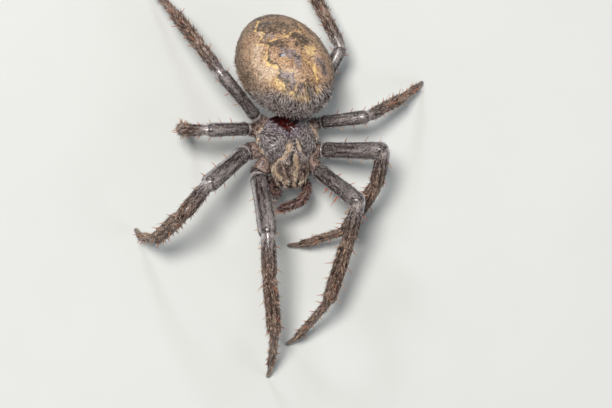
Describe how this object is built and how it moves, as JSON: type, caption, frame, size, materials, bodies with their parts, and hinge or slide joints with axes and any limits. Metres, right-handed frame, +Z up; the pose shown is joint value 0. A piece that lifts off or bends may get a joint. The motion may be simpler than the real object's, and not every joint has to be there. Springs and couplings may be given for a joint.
{
  "type": "orb weaver spider",
  "caption": "Life-size still model of a large freckled brown orb weaver spider, standing with its legs spread and its heavy oval abdomen carried over the back of its head shield.",
  "frame": {"origin": "on the floor, under the centre of the model's box", "axes": "+Z up, head towards -Y, the spider's left side towards +X"},
  "size_m": [0.0396, 0.0598, 0.0182],
  "materials": {
    "leg_skin": "satin, streaked with dark brown",
    "knee_skin": "satin, paler at its ends",
    "carapace_skin": "satin under short grey hair, cream lines round the head",
    "abdomen_skin": "matt, freckled brown on tan",
    "dark_skin": "glossy dark brown",
    "palp_skin": "satin brown",
    "eye": "black, wet gloss",
    "body_hair": "fine silky hair",
    "leg_hair": "fine silky hair",
    "spine": "amber, translucent-looking",
    "claw": "black, glossy"
  },
  "bodies": {
    "root": {"abdomen": "abdomen_skin", "carapace": "carapace_skin", "chelicera_left": "dark_skin", "chelicera_right": "dark_skin", "eye_front_middle_left": "eye", "eye_front_middle_right": "eye", "eye_front_side_left": "eye", "eye_front_side_right": "eye", "eye_rear_middle_left": "eye", "eye_rear_middle_right": "eye", "eye_rear_side_left": "eye", "eye_rear_side_right": "eye", "leg_left_1_femur": "leg_skin", "leg_left_1_metatarsus": "leg_skin", "leg_left_1_patella": "knee_skin", "leg_left_1_tarsus": "leg_skin", "leg_left_1_tibia": "leg_skin", "leg_left_2_femur": "leg_skin", "leg_left_2_metatarsus": "leg_skin", "leg_left_2_patella": "knee_skin", "leg_left_2_tarsus": "leg_skin", "leg_left_2_tibia": "leg_skin", "leg_left_3_femur": "leg_skin", "leg_left_3_metatarsus": "leg_skin", "leg_left_3_patella": "knee_skin", "leg_left_3_tarsus": "leg_skin", "leg_left_3_tibia": "leg_skin", "leg_left_4_femur": "leg_skin", "leg_left_4_metatarsus": "leg_skin", "leg_left_4_patella": "knee_skin", "leg_left_4_tarsus": "leg_skin", "leg_left_4_tibia": "leg_skin", "leg_right_1_femur": "leg_skin", "leg_right_1_metatarsus": "leg_skin", "leg_right_1_patella": "knee_skin", "leg_right_1_tarsus": "leg_skin", "leg_right_1_tibia": "leg_skin", "leg_right_2_femur": "leg_skin", "leg_right_2_metatarsus": "leg_skin", "leg_right_2_patella": "knee_skin", "leg_right_2_tarsus": "leg_skin", "leg_right_2_tibia": "leg_skin", "leg_right_3_femur": "leg_skin", "leg_right_3_metatarsus": "leg_skin", "leg_right_3_patella": "knee_skin", "leg_right_3_tarsus": "leg_skin", "leg_right_3_tibia": "leg_skin", "leg_right_4_femur": "leg_skin", "leg_right_4_metatarsus": "leg_skin", "leg_right_4_patella": "knee_skin", "leg_right_4_tarsus": "leg_skin", "leg_right_4_tibia": "leg_skin", "palp_left": "palp_skin", "palp_right": "palp_skin", "pedicel": "dark_skin", "spinnerets": "dark_skin", "sternum_with_coxae": "dark_skin"}
  },
  "joints": []
}
